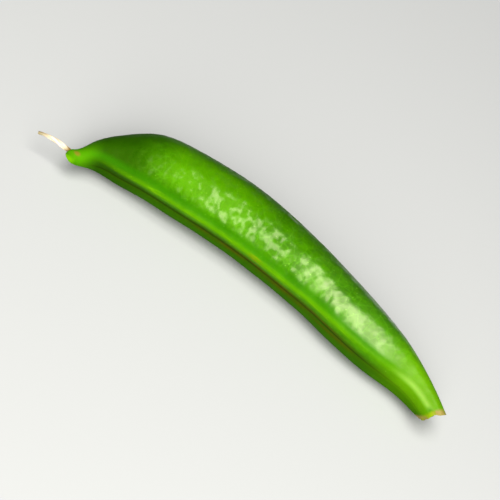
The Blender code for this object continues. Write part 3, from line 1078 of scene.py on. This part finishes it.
# %% Dress the skin
def add_piece(name, shape, finish, readings):
    """Makes an object of a bmesh, with named readings on its points for the material."""
    mesh = bpy.data.meshes.new(name)
    bmesh.ops.recalc_face_normals(shape, faces=shape.faces)
    shape.to_mesh(mesh)
    shape.free()
    mesh.materials.append(finish.material)
    mesh.shade_smooth()
    for reading, values in readings.items():
        kind = "FLOAT_VECTOR" if values.ndim == 2 else "FLOAT"
        stored = mesh.attributes.new(reading, kind, "POINT")
        stored.data.foreach_set("vector" if values.ndim == 2 else "value", values.ravel())
    made = bpy.data.objects.new(name, mesh)
    bpy.context.scene.collection.objects.link(made)
    print(name, "triangles:", sum(len(face.vertices) - 2 for face in mesh.polygons))
    return made


skin_thick = edges_at(skin_along)[:, 4]
pod = add_piece("pod_skin", skin, wax, {
    "along": skin_along,
    "from_seam": skin_thick * skin_angle,
    "from_back": skin_thick * (math.pi - np.abs(skin_angle)),
    "rib_line": rib_offset(skin_along / LENGTH),
    "torn": hollow,
    "straight": skin_straight,
})
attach(pod, "root")
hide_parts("pod")

# %% [markdown]
# The dried style is a twisted thread: the grooves between the strands of its flesh deepen as it
# shrinks, and its end is thin, bent and flattened. It starts as a ball of rings like the skin, and
# every ring is set square across a smooth path. A beveled curve would be quicker, but its surface
# couldn't be crumpled.

# %% Draw out the dried style
STYLE_SIDES = 40
STYLE_RINGS = 150
NEARBY = 0.01

style = bmesh.new()
bmesh.ops.create_uvsphere(style, u_segments=STYLE_SIDES, v_segments=STYLE_RINGS, radius=1.0)
style_ring, style_turn = ball_places(style, STYLE_RINGS)
style_share = np.clip((style_ring - 1.0) / (STYLE_RINGS - 2.0), 0.0, 1.0)
here = style_at(style_share * STYLE_LENGTH)
ahead = style_at((style_share + NEARBY) * STYLE_LENGTH)
ahead -= style_at((style_share - NEARBY) * STYLE_LENGTH)
ahead /= np.linalg.norm(ahead, axis=1)[:, None]
side = np.cross(ahead, (0.0, 0.0, 1.0))
side /= np.linalg.norm(side, axis=1)[:, None]
up = np.cross(side, ahead)
print("style length in mm:", round(STYLE_LENGTH, 2))

# %% [markdown]
# The thread is thickest a little above its root and fines towards its end. Three grooves wind
# almost once round it, and noise crumples it, as drying does. The two ends close to a point.

# %% Groove and twist the style
STYLE_ROOT = 0.36
STYLE_MIDDLE = 0.47
STYLE_END = 0.31
STYLE_THICKENS = (0.05, 0.25)
STYLE_FINES = (0.45, 1.0)
GROOVE_COUNT = 3
GROOVE_SHARE = 0.16
TWIST_TURNS = 0.9
STYLE_FLAT = 0.72
STYLE_FLATTENS = (0.4, 0.9)
STYLE_CRINKLE = (0.9, 1.6, 0.09, 11.9)

body = mix(STYLE_ROOT, STYLE_MIDDLE, rise(style_share, STYLE_THICKENS))
radius = mix(body, STYLE_END, rise(style_share, STYLE_FINES))
groove_turn = style_turn + 2.0 * math.pi * TWIST_TURNS * style_share
style_groove = (0.5 + 0.5 * np.cos(GROOVE_COUNT * groove_turn)) ** 2
radius *= 1.0 - GROOVE_SHARE * style_groove
style_straight = np.column_stack(
    (style_share * STYLE_LENGTH, np.cos(style_turn), np.sin(style_turn))
)
radius *= 1.0 + noise_on(style_straight, *STYLE_CRINKLE)
radius[(style_ring == 0) | (style_ring == STYLE_RINGS)] = 0.0
flatness = mix(1.0, STYLE_FLAT, rise(style_share, STYLE_FLATTENS))
style_places = here + side * (np.cos(style_turn) * radius)[:, None]
style_places += up * (np.sin(style_turn) * radius * flatness)[:, None]
move_points(style, to_frame(style_places))
print("style radius in mm, widest:", round(float(radius.max()), 2))

# %% [markdown]
# Dried plant fibre is matt and cream, browner at the root where it was sealed off from the pod, and
# tan at the end. Fine streaks follow its length, and its grooves are painted darker, as painted
# shade. The streaks read the place along and round the thread, so that they stay on it however it
# lies.

# %% Mix the dried fibre
FIBRE_CREAM = (0.78, 0.68, 0.75)
FIBRE_STREAK = (0.48, 0.38, 0.29)
FIBRE_TAN = (0.28, 0.23, 0.17)
FIBRE_ROOT = (0.20, 0.13, 0.04)
STREAK_RATES = (0.7, 4.5, 4.5)
STREAK_DETAIL = 3.0
STREAK_SPAN = (0.35, 0.75)
STREAK_SHARE = 0.6
STREAK_HEIGHT = 0.04 * MM
GROOVE_SHADE_SHARE = 0.5
TAN_SPAN = (0.55, 1.0)
ROOT_SPAN = (0.1, 0.3)

fibre = Finish("dried_fibre", Roughness=0.75, Subsurface_Weight=0.1, Subsurface_Scale=0.4 * MM)
style_part = fibre.attribute("style_share")
groove = fibre.attribute("groove")
streak_place = fibre.attribute("style_straight", "Vector")
streaks = fibre.noise(streak_place, STREAK_RATES, STREAK_DETAIL)
streaked = fibre.between(streaks, STREAK_SPAN) * STREAK_SHARE
cream = fibre.blend(streaked, FIBRE_CREAM, FIBRE_STREAK)
# The grooves of the style are darkened: painted shade.
cream = fibre.blend(groove * GROOVE_SHADE_SHARE, cream, FIBRE_STREAK)
cream = fibre.blend(fibre.between(style_part, TAN_SPAN), cream, FIBRE_TAN)
cream = fibre.blend(1.0 - fibre.between(style_part, ROOT_SPAN), cream, FIBRE_ROOT)
fibre.paint(Base_Color=cream, Normal=fibre.bumps(streaks, STREAK_HEIGHT))
print("nodes in the dried fibre:", len(fibre.tree.nodes))

# %% [markdown]
# The style is a piece of its own, because it is dead tissue with its own color, and whoever reuses
# the pod may want it without its thread. Its readings are the share of its length, its grooves, and
# its place along and round.

# %% Dress the style
dried_style = add_piece("dried_style_thread", style, fibre, {
    "style_share": style_share,
    "groove": style_groove,
    "style_straight": style_straight,
})
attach(dried_style, "root")
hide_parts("dried_style")

# %% [markdown]
